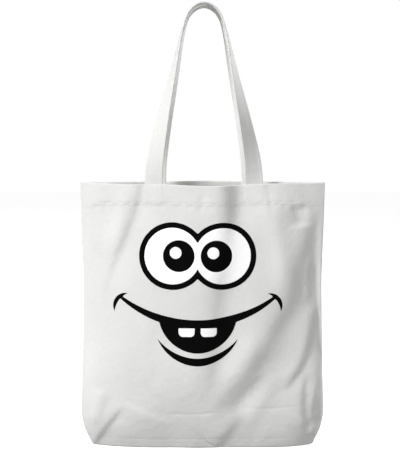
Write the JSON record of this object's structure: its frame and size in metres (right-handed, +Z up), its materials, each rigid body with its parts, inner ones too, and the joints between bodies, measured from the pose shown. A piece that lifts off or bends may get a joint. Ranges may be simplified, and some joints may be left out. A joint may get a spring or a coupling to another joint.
{
  "type": "tote bag",
  "caption": "White cotton canvas shoulder tote with long straps, a boxed base and a simple cartoon face printed on the front.",
  "frame": {"origin": "centre of the underside of the base", "axes": "+Z up towards the straps, X across the bag, -Y the printed front"},
  "size_m": [0.3779, 0.0918, 0.6798],
  "materials": {
    "canvas": "matt plain-weave cotton canvas",
    "strap_canvas": "matt folded cotton canvas",
    "thread": "spun cotton thread",
    "black_ink": "matt black screen-print ink",
    "white_ink": "matt white screen-print ink"
  },
  "bodies": {
    "bag": {"back_panel": "canvas", "base_panel": "canvas", "left_side_seam": "canvas", "right_side_seam": "canvas", "left_overlock": "thread", "right_overlock": "thread", "back_hem": "canvas", "back_hem_stitching": "thread", "back_base_stitching": "thread", "back_base_allowance": "canvas", "back_left_strap_end": "strap_canvas", "back_right_strap_end": "strap_canvas", "back_left_strap_stitching": "thread", "back_right_strap_stitching": "thread"},
    "front_wall": {"front_panel": "canvas", "front_hem": "canvas", "front_hem_stitching": "thread", "front_base_stitching": "thread", "front_base_allowance": "canvas", "front_left_strap_end": "strap_canvas", "front_right_strap_end": "strap_canvas", "front_left_strap_stitching": "thread", "front_right_strap_stitching": "thread", "eye_outline": "black_ink", "eye_whites": "white_ink", "left_pupil": "black_ink", "right_pupil": "black_ink", "left_glint": "white_ink", "right_glint": "white_ink", "smile": "black_ink", "left_tooth": "white_ink", "right_tooth": "white_ink", "chin_line": "black_ink"},
    "front_strap": {"front_strap_loop": "strap_canvas"},
    "back_strap": {"back_strap_loop": "strap_canvas"}
  },
  "joints": [
    {"name": "mouth_open", "type": "hinge", "parent": "bag", "child": "front_wall", "pos_m": [0, -0.04, 0.0011], "axis": [1, 0, 0], "range_deg": [0, 8]},
    {"name": "front_strap_fold", "type": "hinge", "parent": "front_wall", "child": "front_strap", "pos_m": [0, -0.0255, 0.4045], "axis": [1, 0, 0], "range_deg": [0, 160]},
    {"name": "back_strap_fold", "type": "hinge", "parent": "bag", "child": "back_strap", "pos_m": [0, 0.0255, 0.4045], "axis": [-1, 0, 0], "range_deg": [0, 160]}
  ]
}
